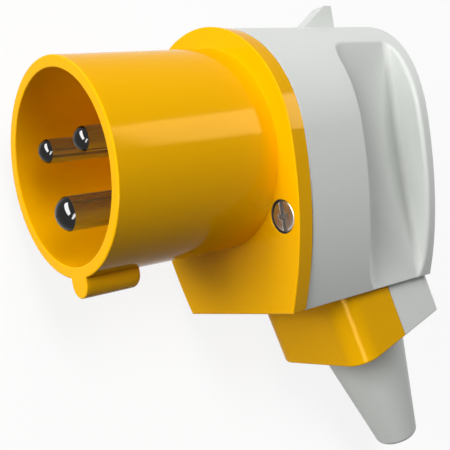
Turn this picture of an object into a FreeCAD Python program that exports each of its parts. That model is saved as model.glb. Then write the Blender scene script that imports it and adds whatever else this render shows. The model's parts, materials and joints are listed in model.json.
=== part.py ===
import FreeCAD, Part
import math
import os

# Angled industrial plug, 16 A, two poles and earth, splash proof.
# It is drawn upright: X to the right as seen from the pin side, Y from the mouth of the shroud
# back into the plug, Z up, with the zero point at the centre of the mouth.
# At the end it is laid down on its left side, as it comes to rest on a table.
# All sizes are millimetres and degrees.

# Shroud round the pins
shroud_radius = 22.0
shroud_wall = 2.4
shroud_depth = 37.5
shroud_draft = 0.008
rim_softness = 0.25
key_half_width = 3.05
key_rise = 3.95
key_length = 12.8
key_end_softness = 1.3
key_reach = shroud_radius + key_rise

# Rear housing, a round top on bowed sides with a flat foot
joint_gap = 0.3
foot_drop = 37.16
housing_half_width = 26.5
housing_foot_half = 17.25
housing_wall = 2.6
housing_depth = 46.0
back_crown_radius = 55.5
back_lean = 1.5
housing_softness = 0.8

# Flange between the shroud and the housing, of the same form and a little wider
flange_overhang = 0.35
flange_foot_overhang = 0.95
flange_thickness = 4.0
flange_edge_step = 0.3
flange_softness = 0.25
flange_half_width = housing_half_width + flange_overhang
flange_foot_half = housing_foot_half + flange_foot_overhang
flange_back = shroud_depth + flange_thickness
housing_front = flange_back + joint_gap
back_reach = flange_back + housing_depth

# Spigot and seal between flange and housing
spigot_wall = 1.6
spigot_length = 5.0
spigot_fit = 0.15
seal_inset = 0.5
seal_width = 1.1
seal_height = 1.9
seal_lip_inset = 0.1
seal_fit = 0.05
tray_top = -foot_drop + housing_wall + spigot_fit

# Pins, on one circle, the earth pin thicker and further out, in line with the key
pin_circle = 8.97
line_pin_angle = 30.0
neutral_pin_angle = 150.0
earth_pin_angle = 270.0
line_pin_radius = 2.5
line_pin_setback = 2.0
line_pin_dome = 1.7
earth_pin_radius = 3.5
earth_pin_setback = 0.0
earth_pin_dome = 2.2
pin_shank_rise = 0.4
pin_fit = 0.05

# Terminals at the back of the pins
line_barrel_radius = 4.1
earth_barrel_radius = 4.7
barrel_length = 12.0
wire_bore_radius = 1.9
wire_bore_depth = 10.0
terminal_screw_radius = 1.75
terminal_head_radius = 2.9
terminal_head_height = 1.8
terminal_screw_setback = 5.5

# Carrier that holds the pins, put in from behind
carrier_lead = 3.5
carrier_tail = 6.5
carrier_step = 1.0
carrier_fit = 0.15
carrier_front = shroud_depth - carrier_lead
carrier_back = flange_back + carrier_tail
carrier_disc_radius = shroud_radius - shroud_wall + carrier_step
tab_clearance = 3.41
tab_overlap = 6.6
tab_thickness = 2.4
tab_boss_radius = 3.2
tab_screw_x = 9.0
tab_screw_side = 4.0
tab_screw_edge = 5.4
tab_screw_radius = 1.5
tab_screw_grip = 5.8
tab_half_width = tab_screw_x + tab_screw_side
tab_foot = -tray_top - tab_clearance
tab_top = carrier_disc_radius - tab_overlap
tab_screw_z = tab_screw_edge - tab_foot
small_head_radius = 2.9
small_head_height = 2.0

# Grip recess in each side of the housing
recess_start = 17.3
recess_wall_slope = 15.4
recess_depth = 8.65
recess_lean = 1.3
recess_floor_blend = 5.7
recess_lip_margin = 7.5
recess_lip_radius = 18.0
recess_lip_inset = 0.85
recess_crease_blend = 1.5
recess_wall_y = flange_back + recess_start
recess_floor_x = housing_half_width - recess_depth
recess_lip_y = back_reach - recess_lip_margin
recess_lip_start_x = recess_floor_x - recess_lip_inset

# Catch lug on top of the housing
lug_half_width = 2.0
lug_rise = 5.8
lug_margin = 6.5
lug_crest = 2.5
lug_ramp = 8.5
lug_height = housing_half_width + lug_rise
lug_back_y = back_reach - lug_margin
lug_ridge_y = lug_back_y - lug_crest
lug_toe_y = lug_ridge_y - lug_ramp

# Screws that hold the two shells together, as near to the shroud as their pockets allow
housing_screw_inset = 6.5
housing_screw_radius = 2.0
housing_screw_reach = 15.0
housing_head_radius = 3.45
housing_head_height = 1.9
housing_head_softness = 0.45
housing_pocket_gap = 0.15
housing_pocket_depth = 2.7
pocket_to_shroud = 0.22
screw_fit = 0.15
washer_thickness = 0.5
washer_overhang = 0.05
slot_width = 1.0
slot_depth = 1.1
cross_length = 3.2
cross_width = 0.8
insert_wall = 0.7
insert_length = 8.0
insert_start = 2.2
boss_wall = 1.5
housing_pocket_radius = housing_head_radius + housing_pocket_gap
washer_radius = housing_head_radius + washer_overhang
insert_radius = housing_screw_radius + insert_wall
boss_radius = insert_radius + boss_wall
shroud_root_radius = shroud_radius + shroud_draft * shroud_depth
housing_screw_circle = shroud_root_radius + housing_pocket_radius + pocket_to_shroud
housing_screw_x = housing_half_width - housing_screw_inset
housing_screw_z = -math.sqrt(housing_screw_circle ** 2 - housing_screw_x ** 2)

# Rubber boot held in a groove of the collar, its tip closed
boot_top_radius = 10.8
boot_tip_radius = 5.2
boot_length = 28.6
boot_dome = 1.3
boot_wall = 1.7
boot_flange_rise = 0.9
boot_flange_start = 5.0
boot_flange_height = 3.0
boot_neck_height = 3.0
boot_neck_step = 0.6
boot_fit = 0.12
boot_flange_radius = boot_top_radius + boot_flange_rise
boot_neck_radius = boot_top_radius - boot_neck_step
boot_neck_top = boot_flange_start + boot_flange_height + boot_neck_height

# Cable outlet: a square collar that leans forward going up, in two halves, one on each shell
outlet_lean = 15.0
outlet_margin = 13.8
outlet_drop = 12.94
collar_front_reach = 15.65
collar_back_reach = 13.85
collar_front_corner = 5.5
collar_back_corner = 1.2
collar_softness = 0.4
parting_gap = 0.12
neck_fit = 1.15
neck_step = 1.1
neck_wall = 1.58
neck_rise = 21.0
back_neck_rise = 13.0
slot_fit = 0.2
outlet_y = back_reach - outlet_margin
outlet_z = -foot_drop - outlet_drop
neck_half_width = recess_floor_x - housing_wall - neck_fit
collar_half_width = neck_half_width + neck_step
neck_front_reach = boot_neck_radius + boot_fit + neck_wall

# Cord clamp across the top of the outlet
cord_radius = 4.8
saddle_gap = 1.0
saddle_height = 7.0
saddle_back = -1.0
saddle_front = -9.5
clamp_inset = 0.5
clamp_back = 5.4
clamp_channel_drop = 1.4
clamp_screw_edge = 3.2
clamp_screw_radius = 1.5
clamp_screw_reach = 12.5
clamp_nut_half = 2.75
clamp_nut_thickness = 2.4
clamp_nut_place = -6.6
saddle_start = neck_rise + saddle_gap
clamp_screw_x = neck_half_width - clamp_screw_edge

# How it lies: turned on its side, and rolled on the bowed flank until it balances
rest_roll = 8.7

pin_turns = {"line_pin": line_pin_angle, "neutral_pin": neutral_pin_angle, "earth_pin": earth_pin_angle}
beyond = 30.0
ACROSS = FreeCAD.Vector(1, 0, 0)
INWARD = FreeCAD.Vector(0, 1, 0)
OUTWARD = FreeCAD.Vector(0, -1, 0)
UP = FreeCAD.Vector(0, 0, 1)
ORIGIN = FreeCAD.Vector(0, 0, 0)


def vec(x, y, z):
    return FreeCAD.Vector(x, y, z)


def line(a, b):
    return Part.LineSegment(a, b).toShape()


def arc(a, middle, b):
    return Part.Arc(a, middle, b).toShape()


def side_radius(half, foot):
    """Radius of the bowed flank that is upright at the pin axis and ends at the foot."""
    narrowing = half - foot
    return (foot_drop ** 2 + narrowing ** 2) / (2 * narrowing)


def outline(half, foot, inset, y):
    """Outline of flange or housing at a station, moved inwards by the inset."""
    flank = side_radius(half, foot) - inset
    centre_x = half - side_radius(half, foot)
    top = half - inset
    drop = foot_drop - inset
    foot_x = centre_x + math.sqrt(flank ** 2 - drop ** 2)
    middle_x = centre_x + math.sqrt(flank ** 2 - (drop / 2) ** 2)
    edges = [
        arc(vec(top, y, 0), vec(0, y, top), vec(-top, y, 0)),
        arc(vec(-top, y, 0), vec(-middle_x, y, -drop / 2), vec(-foot_x, y, -drop)),
        line(vec(-foot_x, y, -drop), vec(foot_x, y, -drop)),
        arc(vec(foot_x, y, -drop), vec(middle_x, y, -drop / 2), vec(top, y, 0)),
    ]
    return Part.Wire(edges)


def outline_block(half, foot, inset, start, end):
    face = Part.Face(outline(half, foot, inset, start))
    return face.extrude(vec(0, end - start, 0))


def rod(radius, start, direction, length):
    return Part.makeCylinder(radius, length, start, direction)


def box(x0, x1, y0, y1, z0, z1):
    return Part.makeBox(x1 - x0, y1 - y0, z1 - z0, vec(x0, y0, z0))


def turned(profile):
    """Solid of revolution about Z from corners (radius, height); three-value corners are arcs
    that pass through (radius, height) and end at the next corner."""
    edges = []
    here = profile[0]
    through = None
    for corner in profile[1:] + profile[:1]:
        if corner[0] == "through":
            through = corner[1:]
            continue
        a = vec(here[0], 0, here[1])
        b = vec(corner[0], 0, corner[1])
        if through is None:
            edges.append(line(a, b))
        else:
            edges.append(arc(a, vec(through[0], 0, through[1]), b))
        through = None
        here = corner
    return Part.Face(Part.Wire(edges)).revolve(ORIGIN, UP, 360)


def aimed(shape, start, direction):
    """Turn a solid drawn along Z to a direction, and move its zero point to the start."""
    moved = shape.copy()
    moved.Placement = FreeCAD.Placement(start, FreeCAD.Rotation(UP, direction))
    return moved


def softened(shape, radius, wanted):
    edges = [edge for edge in shape.Edges if wanted(edge)]
    return shape.makeFillet(radius, edges)


def at_outlet(shape):
    """Move a solid from the outlet's own frame: X across, Y to the back, Z up along its axis."""
    moved = shape.copy()
    frame = FreeCAD.Placement(vec(0, outlet_y, outlet_z), FreeCAD.Rotation(ACROSS, outlet_lean))
    moved.Placement = frame.multiply(shape.Placement)
    return moved


def pin_centre(name):
    turn = math.radians(pin_turns[name])
    return pin_circle * math.cos(turn), pin_circle * math.sin(turn)


def pin_sizes(name):
    if name == "earth_pin":
        return earth_pin_radius, earth_pin_setback, earth_pin_dome, earth_barrel_radius
    return line_pin_radius, line_pin_setback, line_pin_dome, line_barrel_radius


def outward(name):
    turn = math.radians(pin_turns[name])
    return vec(math.cos(turn), 0, math.sin(turn))


def terminal_screw_y():
    return carrier_back + barrel_length - terminal_screw_setback


def contact_pin(name):
    """Turned brass pin with a domed tip, a thicker shank in the carrier and the terminal barrel
    behind it."""
    x, z = pin_centre(name)
    radius, setback, dome, barrel = pin_sizes(name)
    ball = (radius ** 2 + dome ** 2) / (2 * dome)
    half_dome = math.asin(radius / ball) / 2
    shank = radius + pin_shank_rise
    shank_start = carrier_front - setback
    shoulder = carrier_back - setback
    end = shoulder + barrel_length
    middle = (ball * math.sin(half_dome), ball - dome - ball * math.cos(half_dome))
    solid = turned([(0, -dome), ("through",) + middle, (radius, 0), (radius, shank_start),
                    (shank, shank_start), (shank, shoulder), (barrel, shoulder), (barrel, end),
                    (wire_bore_radius, end), (wire_bore_radius, end - wire_bore_depth),
                    (0, end - wire_bore_depth)])
    solid = aimed(solid, vec(x, setback, z), INWARD)
    thread = rod(terminal_screw_radius + pin_fit, vec(x, terminal_screw_y(), z), outward(name), barrel * 2)
    return solid.cut(thread)


def headed_screw(head_radius, head_height, shank_radius, shank_length, softness):
    """Screw along Z with the underside of its head at zero, the shank below, and a slot."""
    solid = turned([(0, head_height), (head_radius - softness, head_height),
                    ("through", head_radius - softness * (1 - math.sqrt(0.5)),
                     head_height - softness * (1 - math.sqrt(0.5))),
                    (head_radius, head_height - softness), (head_radius, 0), (shank_radius, 0),
                    (shank_radius, -shank_length), (0, -shank_length)])
    slot = box(-slot_width / 2, slot_width / 2, -head_radius, head_radius,
               head_height - slot_depth, head_height + slot_depth)
    return solid.cut(slot)


def terminal_screw(name):
    """Clamp screw that enters the barrel from the outer side and stops on the wire bore."""
    x, z = pin_centre(name)
    barrel = pin_sizes(name)[3]
    start = vec(x, terminal_screw_y(), z) + outward(name) * (barrel + pin_fit)
    solid = headed_screw(terminal_head_radius, terminal_head_height, terminal_screw_radius,
                         barrel - wire_bore_radius, housing_head_softness)
    return aimed(solid, start, outward(name))


def pin_carrier():
    """Moulded disc that carries the pins, with a tab below for its two screws."""
    disc = rod(carrier_disc_radius - carrier_fit, vec(0, carrier_front, 0), INWARD,
               carrier_back - carrier_front)
    tab = box(-tab_half_width, tab_half_width, carrier_back - tab_thickness, carrier_back,
              -tab_foot, -tab_top)
    tab = softened(tab, tab_boss_radius, lambda edge: edge.BoundBox.YLength > tab_thickness / 2
                   and edge.CenterOfMass.z < -tab_top - tab_boss_radius)
    solid = disc.fuse(tab).removeSplitter()
    for name in pin_turns:
        x, z = pin_centre(name)
        bore = rod(pin_sizes(name)[0] + pin_shank_rise + pin_fit, vec(x, 0, z), INWARD,
                   carrier_back + beyond)
        solid = solid.cut(bore)
    for side in (-1, 1):
        hole = rod(tab_screw_radius + screw_fit, vec(side * tab_screw_x, 0, tab_screw_z), INWARD,
                   carrier_back + beyond)
        solid = solid.cut(hole)
    return solid


def carrier_screw(side):
    start = vec(side * tab_screw_x, carrier_back, tab_screw_z)
    solid = headed_screw(small_head_radius, small_head_height, tab_screw_radius,
                         tab_screw_grip + tab_thickness, housing_head_softness)
    return aimed(solid, start, INWARD)


def housing_screw_seat():
    return shroud_depth + housing_pocket_depth


def housing_screw(side):
    """Pan head screw with a combined slot and cross, put in from the pin side."""
    start = vec(side * housing_screw_x, housing_screw_seat() - washer_thickness, housing_screw_z)
    solid = headed_screw(housing_head_radius, housing_head_height, housing_screw_radius,
                         housing_screw_reach, housing_head_softness)
    cross = box(-cross_length / 2, cross_length / 2, -cross_width / 2, cross_width / 2,
                housing_head_height - slot_depth, housing_head_height + slot_depth)
    return aimed(solid.cut(cross), start, OUTWARD)


def housing_washer(side):
    seat = vec(side * housing_screw_x, housing_screw_seat() - washer_thickness, housing_screw_z)
    ring = rod(washer_radius, seat, INWARD, washer_thickness)
    return ring.cut(rod(housing_screw_radius + screw_fit, seat, INWARD, washer_thickness))


def housing_insert(side):
    """Threaded brass sleeve pressed into the housing's boss."""
    start = vec(side * housing_screw_x, housing_front + insert_start, housing_screw_z)
    sleeve = rod(insert_radius, start, INWARD, insert_length)
    return sleeve.cut(rod(housing_screw_radius + pin_fit, start, INWARD, insert_length))


def spigot():
    """Tongue behind the flange that lines up the housing, open where the bosses pass."""
    outer_inset = housing_wall + spigot_fit
    ring = outline_block(housing_half_width, housing_foot_half, outer_inset,
                         flange_back, flange_back + spigot_length)
    core = outline_block(housing_half_width, housing_foot_half, outer_inset + spigot_wall,
                         flange_back, flange_back + spigot_length)
    ring = ring.cut(core)
    for side in (-1, 1):
        gap = rod(boss_radius + spigot_fit, vec(side * housing_screw_x, flange_back, housing_screw_z),
                  INWARD, spigot_length)
        ring = ring.cut(gap)
        reach = flange_half_width * side
        span = sorted((side * housing_screw_x, reach))
        ring = ring.cut(box(span[0], span[1], flange_back, flange_back + spigot_length,
                            housing_screw_z - boss_radius - spigot_fit,
                            housing_screw_z + boss_radius + spigot_fit))
    return ring


def collar_block(height):
    """Square collar, rounder in front than at the back, in the outlet's own frame."""
    block = box(-collar_half_width, collar_half_width, -collar_front_reach, collar_back_reach, 0, height)
    block = softened(block, collar_front_corner, lambda edge: edge.BoundBox.ZLength > height / 2
                     and edge.CenterOfMass.y < 0)
    block = softened(block, collar_back_corner, lambda edge: edge.BoundBox.ZLength > height / 2
                     and edge.CenterOfMass.y > 0)
    return softened(block, collar_softness, lambda edge: edge.BoundBox.ZMax < collar_softness)


def outlet_bore():
    """Space for the boot and the cord inside the collar, in the outlet's own frame."""
    neck = rod(boot_top_radius + boot_fit, vec(0, 0, -beyond), UP, beyond + boot_flange_start)
    groove = rod(boot_flange_radius + boot_fit, vec(0, 0, boot_flange_start - boot_fit), UP,
                 boot_flange_height + 2 * boot_fit)
    top = rod(boot_neck_radius + boot_fit, vec(0, 0, boot_flange_start), UP, neck_rise - boot_flange_start)
    return neck.fuse([groove, top])


def below_foot():
    """Everything under the flat foot of the housing."""
    return box(-beyond * 2, beyond * 2, 0, beyond * 5, -beyond * 4, -foot_drop)


def front_half():
    """Space in front of the parting plane, in the outlet's own frame."""
    return box(-beyond * 2, beyond * 2, -beyond * 4, -parting_gap / 2, -beyond * 2, beyond * 4)


def front_collar():
    """Front half of the outlet with its tray and the saddle of the cord clamp."""
    height = (neck_rise + saddle_height) * 2
    outside = at_outlet(collar_block(height).common(front_half())).common(below_foot())
    neck = box(-neck_half_width, neck_half_width, -neck_front_reach, -parting_gap / 2, 0, neck_rise)
    saddle = box(-neck_half_width, neck_half_width, saddle_front, saddle_back, neck_rise,
                 saddle_start + saddle_height)
    inside = at_outlet(neck.fuse(saddle)).cut(below_foot())
    tray = box(-neck_half_width, neck_half_width, flange_back, outlet_y, -foot_drop, tray_top)
    tray = tray.common(at_outlet(front_half()))
    solid = outside.fuse([inside, tray])
    channel = rod(cord_radius, ORIGIN, UP, saddle_start + saddle_height)
    solid = solid.cut([at_outlet(outlet_bore()), at_outlet(channel)])
    for side in (-1, 1):
        start = vec(side * clamp_screw_x, clamp_back, saddle_start + saddle_height / 2)
        hole = rod(clamp_screw_radius + screw_fit, start, OUTWARD, clamp_screw_reach + screw_fit)
        solid = solid.cut(at_outlet(hole))
        solid = solid.cut(at_outlet(nut_pocket(side)))
    return solid


def nut_pocket(side):
    """Slot open at the top of the saddle that a square nut drops into."""
    half = clamp_nut_half + screw_fit
    middle_x = side * clamp_screw_x
    middle_z = saddle_start + saddle_height / 2
    return box(middle_x - half, middle_x + half, clamp_nut_place - screw_fit,
               clamp_nut_place + clamp_nut_thickness + screw_fit, middle_z - half, middle_z + beyond)


def clamp_nut(side):
    middle_x = side * clamp_screw_x
    middle_z = saddle_start + saddle_height / 2
    nut = box(middle_x - clamp_nut_half, middle_x + clamp_nut_half, clamp_nut_place,
              clamp_nut_place + clamp_nut_thickness, middle_z - clamp_nut_half, middle_z + clamp_nut_half)
    bore = rod(clamp_screw_radius + pin_fit, vec(middle_x, clamp_back, middle_z), OUTWARD, beyond)
    return at_outlet(nut.cut(bore))


def clamp_screw(side):
    start = vec(side * clamp_screw_x, clamp_back, saddle_start + saddle_height / 2)
    solid = headed_screw(small_head_radius, small_head_height, clamp_screw_radius,
                         clamp_screw_reach, housing_head_softness)
    return at_outlet(aimed(solid, start, INWARD))


def cord_clamp():
    """Bar that presses the cord into the saddle."""
    base = saddle_start + clamp_inset
    top = saddle_start + saddle_height - clamp_inset
    bar = box(-neck_half_width, neck_half_width, saddle_back, clamp_back, base, top)
    bar = softened(bar, clamp_inset, lambda edge: edge.BoundBox.ZLength > saddle_height / 2)
    channel = rod(cord_radius, vec(0, saddle_back - clamp_channel_drop, base), UP, saddle_height)
    bar = bar.cut(channel)
    for side in (-1, 1):
        hole = rod(clamp_screw_radius + screw_fit,
                   vec(side * clamp_screw_x, clamp_back, saddle_start + saddle_height / 2), OUTWARD, beyond)
        bar = bar.cut(hole)
    return at_outlet(bar)


def shroud_outside():
    """Slightly tapered barrel of the shroud with the key rib under its mouth."""
    barrel = Part.makeCone(shroud_radius, shroud_root_radius, shroud_depth, ORIGIN, INWARD)
    barrel = softened(barrel, rim_softness, lambda edge: edge.BoundBox.YMax < rim_softness)
    key_centre = key_reach - key_half_width
    rib = rod(key_half_width, vec(0, 0, -key_centre), INWARD, key_length)
    web = box(-key_half_width, key_half_width, 0, key_length, -key_centre, -shroud_radius + shroud_wall)
    key = rib.fuse(web).removeSplitter()
    key = softened(key, key_end_softness, lambda edge: edge.BoundBox.YLength < rim_softness
                   and edge.CenterOfMass.y > key_length / 2
                   and edge.CenterOfMass.z < -shroud_radius + shroud_wall - rim_softness)
    key = softened(key, rim_softness, lambda edge: edge.BoundBox.YMax < rim_softness
                   and edge.CenterOfMass.z < -shroud_radius + shroud_wall - rim_softness)
    return barrel.fuse(key)


def front_shell():
    """Shroud, flange, spigot and the front half of the cable outlet, moulded in one."""
    front = outline(flange_half_width, flange_foot_half, 0, shroud_depth)
    back = outline(flange_half_width, flange_foot_half, flange_edge_step, flange_back)
    flange = Part.makeLoft([front, back], True, True)
    flange = softened(flange, flange_softness,
                      lambda edge: edge.BoundBox.YMax < flange_back - flange_softness)
    shroud = shroud_outside()
    solid = flange.fuse([shroud, spigot()])
    bosses = []
    for side in (-1, 1):
        place = vec(side * tab_screw_x, flange_back, tab_screw_z)
        bosses.append(rod(tab_boss_radius, place, INWARD, carrier_back - tab_thickness - flange_back))
    solid = solid.fuse(bosses)
    bore = rod(shroud_radius - shroud_wall, vec(0, -beyond, 0), INWARD, beyond + carrier_front)
    seat = rod(carrier_disc_radius, vec(0, carrier_front, 0), INWARD, beyond)
    solid = solid.cut(bore).cut(seat)
    for side in (-1, 1):
        pilot_start = vec(side * tab_screw_x, carrier_back - tab_thickness, tab_screw_z)
        solid = solid.cut(rod(tab_screw_radius + pin_fit, pilot_start, OUTWARD, tab_screw_grip + pin_fit))
        place = vec(side * housing_screw_x, shroud_depth, housing_screw_z)
        pocket = rod(housing_pocket_radius, place + OUTWARD * shroud_wall, INWARD,
                     shroud_wall + housing_pocket_depth)
        pocket = pocket.cut(shroud)
        solid = solid.cut(pocket)
        solid = solid.cut(rod(housing_screw_radius + screw_fit, place, INWARD, beyond))
    solid = solid.fuse(front_collar()).removeSplitter()
    return softened(solid, rim_softness, lambda edge: edge.BoundBox.YMax < rim_softness / 2
                    and abs(edge.BoundBox.ZMax - shroud_radius + shroud_wall) < rim_softness / 2)


def recess_tool(grow):
    """Space of the grip recess on the right side, as a block along Z.
    Grown, it takes in the wall round the recess too, and the whole lip behind it."""
    outside = flange_half_width + beyond
    slope = math.tan(math.radians(recess_wall_slope))
    floor_x = recess_floor_x - grow
    shift = grow / math.cos(math.radians(recess_wall_slope))

    def wall_y(x):
        return recess_wall_y - shift + (housing_half_width - x) * slope

    start = vec(outside, wall_y(outside), -beyond * 2)
    corner = vec(floor_x, wall_y(floor_x), -beyond * 2)
    if grow:
        far = back_reach + beyond
        wire = Part.makePolygon([start, corner, vec(floor_x, far, -beyond * 2),
                                 vec(outside, far, -beyond * 2), start])
        block = Part.Face(wire).extrude(vec(0, 0, beyond * 4))
    else:
        centre_y = recess_lip_y - recess_lip_radius
        reach = recess_lip_start_x + recess_lip_radius

        def lip(x):
            drop = math.sqrt(recess_lip_radius ** 2 - (x - recess_lip_start_x) ** 2)
            return vec(x, centre_y + drop, -beyond * 2)

        last_x = (housing_half_width + reach) / 2
        edges = [line(start, corner), line(corner, lip(floor_x)),
                 arc(lip(floor_x), lip((floor_x + last_x) / 2), lip(last_x)),
                 line(lip(last_x), vec(outside, lip(last_x).y, -beyond * 2)),
                 line(vec(outside, lip(last_x).y, -beyond * 2), start)]
        block = Part.Face(Part.Wire(edges)).extrude(vec(0, 0, beyond * 4))
        block = softened(block, recess_crease_blend, lambda edge: upright_at(edge, lip(floor_x)))
    block = softened(block, recess_floor_blend + grow, lambda edge: upright_at(edge, corner))
    block.rotate(ORIGIN, INWARD, recess_lean)
    return block


def upright_at(edge, place):
    middle = edge.CenterOfMass
    near = math.hypot(middle.x - place.x, middle.y - place.y) < rim_softness
    return near and edge.BoundBox.ZLength > beyond


def both_sides(tool):
    return [tool, tool.mirror(ORIGIN, ACROSS)]


def crown(inset):
    """Upright drum whose back is the crowned back of the housing, leaning with it."""
    drum = Part.makeCylinder(back_crown_radius - inset, beyond * 4,
                             vec(0, back_reach - back_crown_radius, -beyond * 2), UP)
    drum.rotate(vec(0, back_reach - back_crown_radius, 0), ACROSS, -back_lean)
    return drum


def housing_outside():
    """Outer form of the housing: outline, crowned back and the two grip recesses."""
    far = back_reach + beyond
    solid = outline_block(housing_half_width, housing_foot_half, 0, housing_front, far)
    solid = solid.common(crown(0))
    for tool in both_sides(recess_tool(0)):
        solid = solid.cut(tool)
    return softened(solid, housing_softness, soft_edge)


def soft_edge(edge):
    """Edges of the back and of the recesses that a hand feels, but not the inside blends."""
    middle = edge.valueAt((edge.FirstParameter + edge.LastParameter) / 2)
    behind_front = middle.y > housing_front + rim_softness
    above_foot = edge.BoundBox.ZMax > -foot_drop + rim_softness
    lengthwise = edge.BoundBox.YLength > housing_wall and abs(middle.y - housing_front) < beyond / 2
    inside_blend = abs(abs(middle.x) - recess_floor_x) < rim_softness and edge.BoundBox.ZLength > beyond
    return behind_front and above_foot and not lengthwise and not inside_blend


def lug():
    low = housing_half_width - lug_half_width
    corners = [(lug_toe_y - housing_wall, low), (lug_toe_y, housing_half_width),
               (lug_ridge_y, lug_height), (lug_back_y, lug_height), (lug_back_y + pin_fit, low)]
    points = [vec(-lug_half_width, y, z) for y, z in corners]
    face = Part.Face(Part.makePolygon(points + points[:1]))
    return face.extrude(vec(lug_half_width * 2, 0, 0))


def housing_cavity():
    far = back_reach + beyond
    space = outline_block(housing_half_width, housing_foot_half, housing_wall, housing_front, far)
    space = space.common(crown(housing_wall))
    for tool in both_sides(recess_tool(housing_wall)):
        space = space.cut(tool)
    return space


def rear_collar():
    """Back half of the outlet, with the neck inside that closes on the front half."""
    height = neck_rise * 2
    back_half = box(-beyond * 2, beyond * 2, parting_gap / 2, beyond * 4, -beyond * 2, beyond * 4)
    outside = at_outlet(collar_block(height).common(back_half)).common(below_foot())
    neck = box(-beyond, beyond, parting_gap / 2, beyond, 0, back_neck_rise)
    inside = at_outlet(neck).common(housing_cavity())
    return outside, inside


def rear_housing():
    """Grey housing behind the flange, with the back half of the cable outlet."""
    outside, inside = rear_collar()
    solid = housing_outside().fuse(lug())
    solid = solid.cut(housing_cavity())
    bosses = []
    for side in (-1, 1):
        place = vec(side * housing_screw_x, housing_front, housing_screw_z)
        bosses.append(rod(boss_radius, place, INWARD, recess_wall_y - housing_wall - housing_front))
    solid = solid.fuse(bosses + [inside, outside])
    slot = box(-neck_half_width - slot_fit, neck_half_width + slot_fit, 0, outlet_y + beyond,
               -foot_drop - beyond, tray_top + slot_fit)
    ahead = box(-beyond * 2, beyond * 2, -beyond * 4, parting_gap / 2, -beyond * 2, beyond * 4)
    slot = slot.common(at_outlet(ahead))
    solid = solid.cut([slot, at_outlet(outlet_bore())])
    solid = solid.cut(seal_ring(seal_fit))
    for side in (-1, 1):
        place = vec(side * housing_screw_x, housing_front, housing_screw_z)
        solid = solid.cut(rod(insert_radius, place, INWARD, insert_start + insert_length))
        solid = solid.cut(rod(housing_screw_radius + screw_fit, place, INWARD, housing_screw_reach))
    return solid.removeSplitter()


def seal_band(outer_inset, inner_inset, end):
    """Ring that follows the housing's edge from the flange back, open where the tray passes."""
    ring = outline_block(housing_half_width, housing_foot_half, outer_inset, flange_back, end)
    core = outline_block(housing_half_width, housing_foot_half, inner_inset, flange_back, end)
    ring = ring.cut(core)
    tray_gap = box(-neck_half_width - slot_fit, neck_half_width + slot_fit, 0, beyond * 2,
                   -foot_drop - beyond, tray_top + slot_fit)
    return ring.cut(tray_gap)


def seal_ring(fit):
    """Body of the seal, or with a fit the groove that it lies in."""
    return seal_band(seal_inset - fit, seal_inset + seal_width + fit, flange_back + seal_height + fit)


def housing_seal():
    """Rubber ring in the edge of the housing, with a lip that shows between the two shells."""
    lip = seal_band(seal_lip_inset, seal_inset + seal_width, housing_front - seal_fit)
    return seal_ring(0).fuse(lip).removeSplitter()


def cable_boot():
    """Tapered rubber boot with a closed, rounded tip and a flange that the collar holds."""
    cone_wall = boot_top_radius - boot_wall
    ball_radius = (boot_tip_radius ** 2 + boot_dome ** 2) / (2 * boot_dome)
    half_dome = math.asin(boot_tip_radius / ball_radius) / 2
    dome_middle = (ball_radius * math.sin(half_dome),
                   -boot_length - boot_dome + ball_radius * (1 - math.cos(half_dome)))
    flange_top = boot_flange_start + boot_flange_height
    solid = turned([(0, -boot_length - boot_dome), ("through",) + dome_middle,
                    (boot_tip_radius, -boot_length), (boot_top_radius, 0),
                    (boot_top_radius, boot_flange_start), (boot_flange_radius, boot_flange_start),
                    (boot_flange_radius, flange_top), (boot_neck_radius, flange_top),
                    (boot_neck_radius, boot_neck_top), (boot_neck_radius - boot_wall, boot_neck_top),
                    (cone_wall, 0), (boot_tip_radius - boot_wall, -boot_length + boot_wall),
                    (0, -boot_length + boot_wall)])
    tip = [edge for edge in solid.Edges if abs(edge.BoundBox.ZMax + boot_length) < rim_softness
           and edge.BoundBox.XLength > boot_tip_radius]
    return at_outlet(solid.makeFillet(boot_dome, tip))


def laid_down(pieces):
    """Turn all pieces on the left side and stand them on the floor, centred over the origin."""
    turned_pieces = {}
    for name, shape in pieces.items():
        copy = shape.copy()
        copy.rotate(ORIGIN, INWARD, rest_roll - 90)
        turned_pieces[name] = copy
    extent = Part.makeCompound(list(turned_pieces.values())).optimalBoundingBox(False, False)
    shift = vec(-extent.Center.x, -extent.Center.y, -extent.ZMin)
    for shape in turned_pieces.values():
        shape.translate(shift)
    return turned_pieces


def all_pieces():
    pieces = {
        "front_shell": front_shell(),
        "rear_housing": rear_housing(),
        "housing_seal": housing_seal(),
        "pin_carrier": pin_carrier(),
        "cable_boot": cable_boot(),
        "cord_clamp": cord_clamp(),
    }
    for name in pin_turns:
        pieces[name] = contact_pin(name)
        pieces[name.replace("pin", "terminal_screw")] = terminal_screw(name)
    for side, word in ((-1, "left"), (1, "right")):
        pieces["housing_screw_" + word] = housing_screw(side)
        pieces["housing_washer_" + word] = housing_washer(side)
        pieces["housing_insert_" + word] = housing_insert(side)
        pieces["carrier_screw_" + word] = carrier_screw(side)
        pieces["cord_clamp_screw_" + word] = clamp_screw(side)
        pieces["cord_clamp_nut_" + word] = clamp_nut(side)
    return pieces


os.makedirs("parts", exist_ok=True)
for node, solid in laid_down(all_pieces()).items():
    solid.exportStep("parts/" + node + ".step")
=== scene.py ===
import json
import math

import bmesh
import bpy
from mathutils import Matrix, Vector


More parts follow.
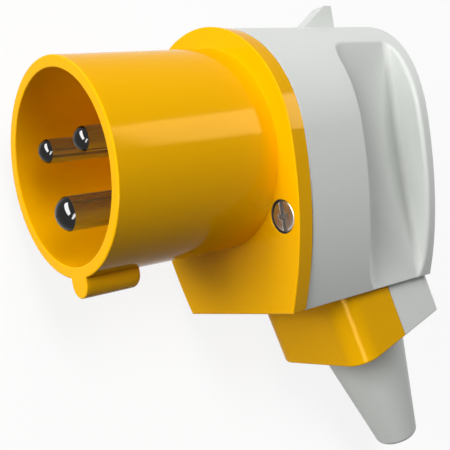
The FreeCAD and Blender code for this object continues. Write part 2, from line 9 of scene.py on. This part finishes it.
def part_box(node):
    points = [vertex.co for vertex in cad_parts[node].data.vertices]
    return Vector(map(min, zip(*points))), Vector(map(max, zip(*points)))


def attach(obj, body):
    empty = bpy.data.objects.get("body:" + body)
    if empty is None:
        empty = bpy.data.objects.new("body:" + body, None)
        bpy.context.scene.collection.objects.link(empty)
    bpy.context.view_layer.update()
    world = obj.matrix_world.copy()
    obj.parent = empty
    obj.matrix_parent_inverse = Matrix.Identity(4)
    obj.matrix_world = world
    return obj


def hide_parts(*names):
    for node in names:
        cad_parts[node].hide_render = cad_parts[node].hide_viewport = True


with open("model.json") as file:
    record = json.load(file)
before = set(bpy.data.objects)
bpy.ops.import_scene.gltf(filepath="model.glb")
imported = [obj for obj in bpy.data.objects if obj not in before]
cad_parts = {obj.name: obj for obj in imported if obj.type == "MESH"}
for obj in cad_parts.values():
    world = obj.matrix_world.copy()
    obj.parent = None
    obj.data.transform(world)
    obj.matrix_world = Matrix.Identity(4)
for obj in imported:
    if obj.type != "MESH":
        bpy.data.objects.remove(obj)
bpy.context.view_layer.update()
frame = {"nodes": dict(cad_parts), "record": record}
record = frame["record"]

MM = 0.001
ROLL = 8.7          # degrees that the plug is rolled on its bowed flank


def mount_place(name):
    for mount in record["mounts"]:
        if mount["name"] == name:
            return Vector(mount["pos_m"])


# The plug is described upright, from the middle of the shroud's mouth: X right, Y into it, Z up
UPRIGHT = Matrix.Translation(mount_place("shroud")) @ Matrix.Rotation(math.radians(ROLL - 90), 4, "Y")


class Wire:
    """One socket in a finish, so that shader maths reads as an expression."""

    def __init__(self, finish, socket):
        self.finish = finish
        self.socket = socket

    def _maths(self, operation, first, second):
        return self.finish.node("ShaderNodeMath", {"operation": operation}, {0: first, 1: second})

    def __add__(self, other):
        return self._maths("ADD", self, other)

    __radd__ = __add__

    def __sub__(self, other):
        return self._maths("SUBTRACT", self, other)

    def __rsub__(self, other):
        return self._maths("SUBTRACT", other, self)

    def __mul__(self, other):
        return self._maths("MULTIPLY", self, other)

    __rmul__ = __mul__


EDGE_SAMPLES = 6    # rays that look for an edge


class Finish:
    """A material or the world, built node by node."""

    def __init__(self, owner):
        owner.use_nodes = True
        self.owner = owner
        self.tree = owner.node_tree
        self.tree.nodes.clear()

    def node(self, kind, settings=None, values=None, out=0):
        """Adds a node: its settings first, then the values or the links of its sockets."""
        made = self.tree.nodes.new(kind)
        for key, value in (settings or {}).items():
            setattr(made, key, value)
        for key, value in (values or {}).items():
            if isinstance(value, Wire):
                self.tree.links.new(value.socket, made.inputs[key])
            else:
                made.inputs[key].default_value = value
        return Wire(self, made.outputs[out]) if len(made.outputs) else None

    def place(self):
        return self.node("ShaderNodeTexCoord", out="Object")

    def stretched(self, scale):
        return self.node("ShaderNodeMapping", values={"Vector": self.place(), "Scale": scale})

    def noise(self, scale, detail, vector=None):
        """A pattern from 0 to 1, with this many waves in a metre."""
        return self.node("ShaderNodeTexNoise", values={"Vector": vector or self.place(), "Scale": scale,
                                                       "Detail": detail})

    def between(self, factor, low, high):
        return self.node("ShaderNodeMix", {"data_type": "RGBA"}, {0: factor, 6: low, 7: high}, out=2)

    def held_product(self, first, second):
        """Product that is held between 0 and 1."""
        settings = {"operation": "MULTIPLY", "use_clamp": True}
        return self.node("ShaderNodeMath", settings, {0: first, 1: second})

    def facing(self):
        return self.node("ShaderNodeNewGeometry", out="Normal")

    def agreement(self, first, second):
        """1 where two directions are the same, 0 where they are square to each other."""
        settings = {"operation": "DOT_PRODUCT"}
        return self.node("ShaderNodeVectorMath", settings, {0: first, 1: second}, out="Value")

    def eased(self, reach):
        """Normals that round off the sharp edges."""
        return self.node("ShaderNodeBevel", {"samples": EDGE_SAMPLES}, {"Radius": reach})

    def edges(self, eased):
        """Mask of the edges that the eased normals round off."""
        return 1 - self.agreement(eased, self.facing())

    def grained(self, normal, height, depth):
        return self.node("ShaderNodeBump", values={"Height": height, "Distance": depth, "Normal": normal})

    def end(self, shader, kind="ShaderNodeOutputMaterial"):
        self.node(kind, values={"Surface": shader})
        return self.owner


def rgb(red, green, blue):
    """Colour written as it is seen, 0 to 255, for a linear socket."""
    def linear(value):
        value /= 255
        return value / 12.92 if value <= 0.04045 else ((value + 0.055) / 1.055) ** 2.4
    return linear(red), linear(green), linear(blue), 1.0


def uneven(value, pattern, spread):
    """A value that a pattern from 0 to 1 moves up and down by half of the spread."""
    return value * (1 - spread / 2 + pattern * spread)


# Detail of the noises
SOFT = 2.0
FINE = 3.0

# Their waves in a metre, where three numbers are those along X, Y and Z
COLOUR_DRIFT = 60.0
GLOSS_DRIFT = 300.0
METAL_STAIN = 300.0
SCREW_STAIN = 500.0
PIN_STAIN = 200.0
TURNING_ACROSS = 6.0
SCREW_BRUSHING = (900.0, 900.0, 3600.0)
PIN_STREAKS = (7000.0, 90.0, 7000.0)

# How much of each shows
DRIFT_SHARE = 0.45          # of the colour, and the grain has the rest
PLASTIC_UNEVENNESS = 0.3    # of the roughness
METAL_UNEVENNESS = 0.5
EDGE_REACH = 0.3 * MM
FINE_EDGE_REACH = 0.07 * MM
EDGE_HIGHLIGHT_RISE = 2.0          # how soon an edge turns pale with the painted highlight
# Paler colour of metal edges, a painted highlight
EDGE_HIGHLIGHT_METAL = rgb(222, 218, 212)
BRUSHING_DEPTH = 0.0015 * MM
STREAK_DEPTH = 0.0001 * MM
SLOT_SHADE_START = 0.15 * MM
SLOT_SHADE_DEPTH = 0.5 * MM
SLOT_SHADE_COVER = 0.75          # of the metal's colour that the painted slot shade covers, at the foot of the slot
SLOT_ROUGHNESS = 0.3       # roughness that the slot adds there
TIP_REACH = 8.0             # how soon the tip's painted dark reflection and polish start where a pin begins to turn forwards
TIP_DIRECTION = (0, -1, 0)
PIN_STAIN_SHADE = 0.93


def plastic(name, colour, deeper, edge_highlight_colour, roughness, grain, grain_depth, specular, coloured_gloss=0.0):
    """Moulded plastic: drifting colour and gloss, a fine fleck, edges paler with a painted highlight, and the
    grain of the mould.
    """
    finish = Finish(bpy.data.materials.new(name))
    skin = finish.noise(grain, FINE)
    eased = finish.eased(EDGE_REACH)
    fleck = finish.noise(COLOUR_DRIFT, FINE) * DRIFT_SHARE + skin * (1 - DRIFT_SHARE)
    # Painted highlight: the edges turn paler
    edge_highlight = finish.held_product(finish.edges(eased), EDGE_HIGHLIGHT_RISE)
    body = finish.between(fleck, colour, deeper)
    shader = finish.node("ShaderNodeBsdfPrincipled", values={
        "Base Color": finish.between(edge_highlight, body, edge_highlight_colour),
        "Metallic": coloured_gloss,
        "Normal": finish.grained(eased, skin, grain_depth),
        "Roughness": uneven(roughness, finish.noise(GLOSS_DRIFT, SOFT), PLASTIC_UNEVENNESS),
        "Specular IOR Level": specular})
    return finish.end(shader)


def metal(name, colour, stained, roughness, turning, depth):
    """Turned metal: lines round the axis of turning, a faint stain, and edges brighter with a painted
    highlight.
    """
    finish = Finish(bpy.data.materials.new(name))
    lines = finish.noise(1.0, SOFT, finish.stretched((TURNING_ACROSS, turning, TURNING_ACROSS)))
    eased = finish.eased(FINE_EDGE_REACH)
    body = finish.between(finish.noise(METAL_STAIN, FINE), colour, stained)
    shader = finish.node("ShaderNodeBsdfPrincipled", values={
        # Painted highlight: the edges are paler
        "Base Color": finish.between(finish.edges(eased), body, EDGE_HIGHLIGHT_METAL),
        "Metallic": 1.0,
        "Normal": finish.grained(eased, lines, depth),
        "Roughness": uneven(roughness, lines, METAL_UNEVENNESS)})
    return finish.end(shader)


def slotted_metal(name, colour, stained, slot_shade_colour, roughness, face_y):
    """Head of a screw put in along Y: a stained face, and painted shade in the slot, darker and rougher the
    deeper it goes below the face.
    """
    finish = Finish(bpy.data.materials.new(name))
    depth = finish.node("ShaderNodeSeparateXYZ", values={"Vector": finish.place()}, out="Y") - face_y
    # Painted shade in the slot, stronger the deeper below the face
    slot_shade = finish.held_product(depth - SLOT_SHADE_START, 1 / SLOT_SHADE_DEPTH)
    brushed = finish.noise(1.0, FINE, finish.stretched(SCREW_BRUSHING))
    eased = finish.eased(FINE_EDGE_REACH)
    body = finish.between(finish.noise(SCREW_STAIN, FINE), colour, stained)
    # Painted highlight: the edges of the head are paler
    wear_and_edge_highlight = finish.between(finish.edges(eased), body, EDGE_HIGHLIGHT_METAL)
    shader = finish.node("ShaderNodeBsdfPrincipled", values={
        "Base Color": finish.between(slot_shade * SLOT_SHADE_COVER, wear_and_edge_highlight, slot_shade_colour),
        "Metallic": 1.0,
        "Normal": finish.grained(eased, brushed, BRUSHING_DEPTH),
        "Roughness": uneven(roughness, brushed, METAL_UNEVENNESS) + slot_shade * SLOT_ROUGHNESS})
    return finish.end(shader)


def contact_metal(name, dark_reflection_tip_colour, rubbed_colour, tip_roughness, rubbed_roughness):
    """Plated pin: a polished tip painted near black as a painted dark reflection, and sides that the socket's
    contacts have rubbed lengthwise.
    """
    finish = Finish(bpy.data.materials.new(name))
    # Painted dark reflection on the tip, where the pin turns forwards
    tip = finish.held_product(finish.agreement(finish.facing(), TIP_DIRECTION), TIP_REACH)
    streaks = finish.noise(1.0, SOFT, finish.stretched(PIN_STREAKS))
    wear_and_edge_highlight = uneven(rubbed_roughness, streaks, PLASTIC_UNEVENNESS)
    stained = tuple(channel * PIN_STAIN_SHADE for channel in rubbed_colour[:3]) + (1,)
    side = finish.between(finish.noise(PIN_STAIN, SOFT), rubbed_colour, stained)
    shader = finish.node("ShaderNodeBsdfPrincipled", values={
        "Base Color": finish.between(tip, side, dark_reflection_tip_colour),
        "Metallic": 1.0,
        "Normal": finish.grained(finish.eased(FINE_EDGE_REACH), streaks, STREAK_DEPTH),
        "Roughness": wear_and_edge_highlight + tip * (tip_roughness - wear_and_edge_highlight)})
    return finish.end(shader)


SCREW_FACE_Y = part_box("housing_screw_right")[0][1]
# Plastics list their colour, a deeper tone that the fleck drifts to, and the paler colour of the painted
# highlight on their edges
FINISHES = {
    "yellow_shell": plastic(
        "yellow_shell_finish", rgb(250, 185, 0), rgb(245, 178, 0), rgb(255, 199, 6),
        roughness=0.12, grain=2600.0, grain_depth=0.0012 * MM, specular=0.03, coloured_gloss=0.013),
    "grey_housing": plastic(
        "grey_housing_finish", rgb(222, 225, 221), rgb(211, 214, 210), rgb(232, 234, 231),
        roughness=0.36, grain=2600.0, grain_depth=0.006 * MM, specular=0.3),
    # The seal's blue-white is painted paler than its rubber, a painted highlight that offsets the shade in
    # its groove
    "seal_rubber": plastic(
        "seal_finish", rgb(226, 238, 255), rgb(218, 230, 252), rgb(238, 244, 255),
        roughness=0.6, grain=3000.0, grain_depth=0.004 * MM, specular=0.3),
    # The carrier's darker orange is painted shade, for it sits deep inside the shroud
    "carrier_plastic": plastic(
        "carrier_finish", rgb(226, 150, 0), rgb(216, 142, 0), rgb(238, 164, 6),
        roughness=0.3, grain=2500.0, grain_depth=0.004 * MM, specular=0.03, coloured_gloss=0.013),
    "boot_rubber": plastic(
        "boot_finish", rgb(214, 217, 213), rgb(202, 205, 201), rgb(224, 226, 223),
        roughness=0.5, grain=2000.0, grain_depth=0.01 * MM, specular=0.3),
    "clamp_plastic": plastic(
        "clamp_finish", rgb(52, 53, 57), rgb(44, 45, 49), rgb(72, 73, 78),
        roughness=0.45, grain=2500.0, grain_depth=0.006 * MM, specular=0.3),
    # The pins' near-black tip colour is a painted dark reflection
    "pin_metal": contact_metal(
        "pin_finish", rgb(46, 46, 46), rgb(170, 176, 154), tip_roughness=0.04, rubbed_roughness=0.26),
    # Its third colour is the painted shade at the foot of the slot
    "housing_screw_steel": slotted_metal(
        "housing_screw_finish", rgb(194, 188, 182), rgb(180, 174, 168), rgb(66, 61, 57),
        roughness=0.3, face_y=SCREW_FACE_Y),
    "screw_steel": metal(
        "screw_finish", rgb(188, 188, 190), rgb(170, 170, 174),
        roughness=0.28, turning=2000.0, depth=0.001 * MM),
    "insert_brass": metal(
        "brass_finish", rgb(214, 176, 104), rgb(198, 156, 84),
        roughness=0.3, turning=2000.0, depth=0.001 * MM),
}

for subpart in record["subparts"]:
    cad = frame["nodes"][subpart["node"]]
    cad.data.materials.clear()
    cad.data.materials.append(FINISHES[subpart["material_slot"]])

SHARP_ANGLE = 32.0  # degrees, past which an edge stays sharp
NEAR = 1e-6         # points this close are one


def upright_box(node):
    """Lowest and highest corner of a CAD node in the upright frame."""
    back = UPRIGHT.inverted()
    points = [back @ vert.co for vert in frame["nodes"][node].data.vertices]
    low = Vector([min(point[axis] for point in points) for axis in range(3)])
    high = Vector([max(point[axis] for point in points) for axis in range(3)])
    return low, high


def piece(name, mesh, material_slot, *nodes):
    """Turns a finished bmesh into a piece that rides on the body and stands in for CAD nodes."""
    for face in mesh.faces:
        face.smooth = True
    for edge in mesh.edges:
        edge.smooth = edge.is_manifold and edge.calc_face_angle() < math.radians(SHARP_ANGLE)
    data = bpy.data.meshes.new(name)
    mesh.to_mesh(data)
    mesh.free()
    made = bpy.data.objects.new(name, data)
    bpy.context.scene.collection.objects.link(made)
    data.materials.append(FINISHES[material_slot])
    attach(made, "root")
    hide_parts(*nodes)


# Housing screws: a turned pan head with a slot, a small cross between its ends and four ticks
HEAD_RADIUS = 3.38 * MM
HEAD_HEIGHT = 1.9 * MM
HEAD_SOFTNESS = 0.55 * MM
HEAD_SIDES = 96
RIM_STEPS = 6
SLOT_WIDTH = 1.2 * MM
SLOT_DEPTH = 0.7 * MM
CROSS_LENGTH = 3.0 * MM
CROSS_WIDTH = 0.9 * MM
TICK_LENGTH = 2.9 * MM
TICK_WIDTH = 0.14 * MM
CUT_MARGIN = HEAD_HEIGHT / 3    # below the floor of the slot, down to where the head's faces are cut
SHANK_RADIUS = 1.98 * MM
SHANK_CORE = 1.65 * MM
SHANK_LENGTH = 14.3 * MM
SHANK_POINT = 0.6 * MM
SHANK_PLAIN = 3.0 * MM          # without thread, under the head
POINT_SHARE = 0.4               # of the shank's core, at its point
THREAD_PITCH = 1.4 * MM
THREAD_ROOT = 0.97 * SHANK_CORE
THREAD_FOOT = 0.04              # share of the pitch at which the ridge starts
THREAD_CREST = 0.42             # and at which it is full
TURN_STEPS = 24


def recessed(x, y):
    """True where the driver's slot, cross or ticks lie in the head."""
    along, across = (x + y) * math.sqrt(0.5), (x - y) * math.sqrt(0.5)
    tick = min(abs(along), abs(across)) < TICK_WIDTH / 2 and max(abs(along), abs(across)) < TICK_LENGTH / 2
    cross = abs(y) < CROSS_WIDTH / 2 and abs(x) < CROSS_LENGTH / 2
    return abs(x) < SLOT_WIDTH / 2 or cross or tick


def screw_head(mesh):
    """Round head with a soft rim, and the shank that tapers to a short point."""
    disc = bmesh.ops.create_circle(mesh, cap_ends=True, segments=HEAD_SIDES, radius=HEAD_RADIUS)
    bmesh.ops.translate(mesh, verts=disc["verts"], vec=(0, 0, HEAD_HEIGHT))
    rim = mesh.edges[:]
    skirt = rim
    for widening, drop in ((1.0, HEAD_HEIGHT), (SHANK_CORE / HEAD_RADIUS, 0), (1.0, SHANK_LENGTH),
                           (POINT_SHARE, SHANK_POINT)):
        ring = bmesh.ops.extrude_edge_only(mesh, edges=skirt)["geom"]
        verts = [part for part in ring if isinstance(part, bmesh.types.BMVert)]
        bmesh.ops.scale(mesh, verts=verts, vec=(widening, widening, 1))
        bmesh.ops.translate(mesh, verts=verts, vec=(0, 0, -drop))
        skirt = [part for part in ring if isinstance(part, bmesh.types.BMEdge)]
    bmesh.ops.contextual_create(mesh, geom=skirt)
    bmesh.ops.bevel(mesh, geom=rim, offset=HEAD_SOFTNESS, offset_type="OFFSET", affect="EDGES",
                    segments=RIM_STEPS, profile=0.5, material=-1)


def sink_recess(mesh):
    """Slot, cross and ticks, cut into the top of the head and given walls and a floor."""
    floor_height = HEAD_HEIGHT - SLOT_DEPTH
    half = math.sqrt(0.5)
    cuts = [((0, 0, 1), floor_height)]
    for across, width in (((1, 0, 0), SLOT_WIDTH), ((1, 0, 0), CROSS_LENGTH), ((0, 1, 0), CROSS_WIDTH),
                          ((half, half, 0), TICK_WIDTH), ((half, half, 0), TICK_LENGTH),
                          ((half, -half, 0), TICK_WIDTH), ((half, -half, 0), TICK_LENGTH)):
        cuts += [(across, -width / 2), (across, width / 2)]
    for facing, reach in cuts:
        high = [face for face in mesh.faces if face.calc_center_median().z > floor_height - CUT_MARGIN]
        edges = {edge for face in high for edge in face.edges}
        verts = {vert for face in high for vert in face.verts}
        bmesh.ops.bisect_plane(mesh, geom=list(verts) + list(edges) + high, dist=NEAR, plane_no=facing,
                               plane_co=Vector(facing) * reach)
    sunk = []
    for face in mesh.faces:
        middle = face.calc_center_median()
        if middle.z > floor_height + NEAR and recessed(middle.x, middle.y):
            sunk.append(face)
    bmesh.ops.delete(mesh, geom=sunk, context="FACES")
    brim = [edge for edge in mesh.edges
            if edge.is_boundary and max(vert.co.z for vert in edge.verts) > floor_height + NEAR]
    wall = bmesh.ops.extrude_edge_only(mesh, edges=brim)["geom"]
    foot = [part for part in wall if isinstance(part, bmesh.types.BMVert)]
    bmesh.ops.scale(mesh, verts=foot, vec=(1, 1, 0), space=Matrix.Translation((0, 0, -floor_height)))
    bmesh.ops.remove_doubles(mesh, verts=mesh.verts[:], dist=NEAR)
    bmesh.ops.contextual_create(mesh, geom=[edge for edge in mesh.edges if edge.is_boundary])


def screw_thread(mesh):
    """A ridge wound round the shank, with its foot sunk into the core."""
    ridge = [(THREAD_ROOT, THREAD_FOOT), (SHANK_RADIUS, THREAD_CREST),
             (SHANK_RADIUS, 1 - THREAD_CREST), (THREAD_ROOT, 1 - THREAD_FOOT)]
    verts = [mesh.verts.new((radius, 0, -SHANK_PLAIN - share * THREAD_PITCH)) for radius, share in ridge]
    ridge_end = mesh.faces.new(verts)
    turns = int((SHANK_LENGTH - SHANK_PLAIN - THREAD_PITCH) / THREAD_PITCH)
    bmesh.ops.spin(mesh, geom=[ridge_end], axis=(0, 0, 1), angle=math.tau * turns, steps=turns * TURN_STEPS,
                   dvec=(0, 0, -THREAD_PITCH / TURN_STEPS))


def housing_screw(node):
    low, high = upright_box(node)
    middle = (low + high) / 2
    seat = Vector((middle.x, low.y + HEAD_HEIGHT, middle.z))
    mesh = bmesh.new()
    screw_head(mesh)
    sink_recess(mesh)
    screw_thread(mesh)
    bmesh.ops.recalc_face_normals(mesh, faces=mesh.faces[:])
    outward = UPRIGHT @ Matrix.Translation(seat) @ Matrix.Rotation(math.radians(90), 4, "X")
    bmesh.ops.transform(mesh, matrix=outward, verts=mesh.verts[:])
    piece(node + "_turned", mesh, "housing_screw_steel", node)


# Washers: a dark ring under each head, with a thin lip that rises round it, painted shade that stands for the
# shadow in the gap round the head
WASHER_HOLE = SHANK_RADIUS + 0.15 * MM
WASHER_LIP_INSIDE = 3.4 * MM
WASHER_LIP_OUTSIDE = 3.58 * MM
WASHER_LIP_RISE = 1.95 * MM


def shade_lip_washer(node):
    low, high = upright_box(node)
    middle = (low + high) / 2
    seat = low.y
    brim = seat - WASHER_LIP_RISE
    outline = [(WASHER_HOLE, high.y), (WASHER_LIP_OUTSIDE, high.y), (WASHER_LIP_OUTSIDE, brim),
               (WASHER_LIP_INSIDE, brim), (WASHER_LIP_INSIDE, seat), (WASHER_HOLE, seat)]
    mesh = bmesh.new()
    verts = [mesh.verts.new((radius, along, 0)) for radius, along in outline]
    edges = [mesh.edges.new((verts[k - 1], verts[k])) for k in range(len(verts))]
    bmesh.ops.spin(mesh, geom=verts + edges, axis=(0, 1, 0), angle=math.tau, steps=HEAD_SIDES, use_merge=True)
    bmesh.ops.remove_doubles(mesh, verts=mesh.verts[:], dist=NEAR)
    bmesh.ops.recalc_face_normals(mesh, faces=mesh.faces[:])
    place = UPRIGHT @ Matrix.Translation((middle.x, 0, middle.z))
    bmesh.ops.transform(mesh, matrix=place, verts=mesh.verts[:])
    # The dark plastic of the lip is painted shade round the head
    piece(node + "_lipped", mesh, "clamp_plastic", node)


for side in ("left", "right"):
    housing_screw("housing_screw_" + side)
    shade_lip_washer("housing_washer_" + side)

# Pale floor that looks white and still shows the plug's soft shadow
FLOOR_HALF = 6.0
FLOOR_GLOW = 0.87   # share of the floor's white that no shadow takes away
FLOOR_GREY = 0.28   # what the floor throws back on the plug
AMBIENT = 0.02      # light from the surroundings
WHITE = (1, 1, 1, 1)


def seen_directly(finish):
    """1 for what the camera sees straight, in a mirror or through glass."""
    seen = finish.node("ShaderNodeLightPath", out="Is Camera Ray")
    for ray in ("Is Glossy Ray", "Is Transmission Ray"):
        other = finish.node("ShaderNodeLightPath", out=ray)
        seen = finish.node("ShaderNodeMath", {"operation": "MAXIMUM"}, {0: seen, 1: other})
    return seen


floor_mesh = bpy.data.meshes.new("floor")
floor_mesh.from_pydata([(-FLOOR_HALF, -FLOOR_HALF, 0), (FLOOR_HALF, -FLOOR_HALF, 0),
                        (FLOOR_HALF, FLOOR_HALF, 0), (-FLOOR_HALF, FLOOR_HALF, 0)], [], [(0, 1, 2, 3)])
floor = bpy.data.objects.new("floor", floor_mesh)
bpy.context.scene.collection.objects.link(floor)
paper = Finish(bpy.data.materials.new("floor_paper"))
bounce = paper.node("ShaderNodeBsdfDiffuse", values={"Color": (FLOOR_GREY, FLOOR_GREY, FLOOR_GREY, 1)})
lit = paper.node("ShaderNodeBsdfDiffuse", values={"Color": WHITE})
glow = paper.node("ShaderNodeEmission", values={"Color": WHITE, "Strength": 1.0})
shown = paper.node("ShaderNodeMixShader", values={0: FLOOR_GLOW, 1: lit, 2: glow})
floor_mesh.materials.append(paper.end(paper.node("ShaderNodeMixShader", values={
    0: seen_directly(paper), 1: bounce, 2: shown})))

world = bpy.data.worlds.new("studio")
bpy.context.scene.world = world
sky = Finish(world)
dim = sky.node("ShaderNodeBackground", values={"Color": WHITE, "Strength": AMBIENT})
white = sky.node("ShaderNodeBackground", values={"Color": WHITE, "Strength": 1.0})
backdrop = sky.node("ShaderNodeMixShader", values={0: seen_directly(sky), 1: dim, 2: white})
sky.end(backdrop, "ShaderNodeOutputWorld")

# Softboxes, placed by the direction that they are seen in from the upright plug: degrees from the pin side
# towards the right, degrees up, lean, then width and height in metres, and radiance
LAMP_DISTANCE = 0.9
LAMP_AIM = Vector((0, 40, 0)) * MM  # the point behind the mouth that all of them face
# For the yellow pieces and all the small ones
SOFTBOXES = {
    "front": (3.0, 26.0, 0.0, 0.40, 0.60, 9.8),
    "front_low": (12.0, 5.0, 0.0, 0.34, 0.34, 6.3),
    "side": (80.0, 30.0, 0.0, 0.40, 0.62, 7.3),
}
# For the grey pieces, further round to the right, so that light falls into the grip recess
GREY_SOFTBOXES = {
    "grey_front": (12.0, 5.0, 0.0, 0.34, 0.34, 8.0),
    "grey_right": (30.0, 25.0, 0.0, 0.34, 0.34, 13.2),
    "grey_back": (105.0, 25.0, 0.0, 0.34, 0.34, 8.3),
    "grey_rear": (165.0, 0.0, 0.0, 0.30, 0.34, 5.0),
    "grey_top": (12.0, 65.0, 0.0, 0.34, 0.34, 5.4),
}
# These only show as a glint on gloss
GLINTS = {
    "corner_glint": (64.0, -27.0, 0.0, 0.26, 0.34, 17.0),
    "band_glint": (136.0, 17.0, 0.0, 0.52, 0.33, 12.5),
}
# Strips that only the polished pins mirror, in place of the softboxes above
PIN_STRIPS = {
    "pin_strip": (18.0, 26.0, 24.0, 0.34, 1.30, 32.0),
    "pin_low_strip": (50.0, -22.0, -35.0, 0.16, 0.50, 26.0),
}
# One more, for the heads of the housing screws
SCREW_STRIP = (10.0, 32.0, 0.0, 0.55, 0.85, 11.0)
# These light without a glint
MATT_LAMPS = ("front", "grey_back", "grey_rear")
PINS = ("line_pin", "neutral_pin", "earth_pin")
GREY_PIECES = ("rear_housing", "cable_boot")
SCREWS = ("housing_screw_left_turned", "housing_screw_right_turned")


def softbox(name, turn, rise, lean, width, height, radiance):
    turn, rise = math.radians(turn), math.radians(rise)
    towards = Vector((math.sin(turn) * math.cos(rise), -math.cos(turn) * math.cos(rise), math.sin(rise)))
    lamp = bpy.data.lights.new(name, "AREA")
    lamp.shape = "RECTANGLE"
    lamp.size = width
    lamp.size_y = height
    lamp.energy = radiance * math.pi * width * height
    made = bpy.data.objects.new(name, lamp)
    facing = towards.to_track_quat("Z", "Y").to_matrix().to_4x4()
    made.matrix_world = (UPRIGHT @ Matrix.Translation(LAMP_AIM + towards * LAMP_DISTANCE) @ facing
                         @ Matrix.Rotation(math.radians(lean), 4, "Z"))
    bpy.context.scene.collection.objects.link(made)
    return made


def link_light(lamp, names, state):
    """The lamp reaches only these objects (INCLUDE), or everything but them (EXCLUDE)."""
    group = bpy.data.collections.new(lamp.name + "_receivers")
    for name in names:
        group.objects.link(bpy.data.objects[name])
    for member in group.collection_objects:
        member.light_linking.link_state = state
    lamp.light_linking.receiver_collection = group


for lamp_name, settings in SOFTBOXES.items():
    lamp = softbox(lamp_name, *settings)
    lamp.visible_glossy = lamp_name not in MATT_LAMPS
    link_light(lamp, PINS + GREY_PIECES, "EXCLUDE")
for lamp_name, settings in GREY_SOFTBOXES.items():
    lamp = softbox(lamp_name, *settings)
    lamp.visible_glossy = lamp_name not in MATT_LAMPS
    link_light(lamp, GREY_PIECES + ("housing_seal",), "INCLUDE")
for lamp_name, settings in GLINTS.items():
    lamp = softbox(lamp_name, *settings)
    lamp.visible_diffuse = False
    link_light(lamp, PINS + GREY_PIECES, "EXCLUDE")
for lamp_name, settings in PIN_STRIPS.items():
    link_light(softbox(lamp_name, *settings), PINS, "INCLUDE")
link_light(softbox("screw_strip", *SCREW_STRIP), SCREWS, "INCLUDE")

# The camera of the photograph, in the plug's upright frame
PHOTO_SIDE = 450    # pixels
SENSOR = 36.0       # mm
CAMERA_PLACE = Vector((148.639, -75.31, -12.243)) * MM
CAMERA_TURN = 52.702    # degrees, as the next two
CAMERA_DROP = 1.428
CAMERA_ROLL = -9.756
CAMERA_NEAREST = 5 * MM
FOCAL_PIXELS = 835.95

camera_data = bpy.data.cameras.new("camera")
camera_data.sensor_width = SENSOR
camera_data.lens = FOCAL_PIXELS / PHOTO_SIDE * SENSOR
camera_data.clip_start = CAMERA_NEAREST
camera = bpy.data.objects.new("camera", camera_data)
camera.matrix_world = (UPRIGHT @ Matrix.Translation(CAMERA_PLACE)
                       @ Matrix.Rotation(math.radians(CAMERA_TURN), 4, "Z")
                       @ Matrix.Rotation(math.radians(90 - CAMERA_DROP), 4, "X")
                       @ Matrix.Rotation(math.radians(CAMERA_ROLL), 4, "Z"))
bpy.context.scene.collection.objects.link(camera)
bpy.context.scene.camera = camera
bpy.context.scene.view_settings.view_transform = "Standard"
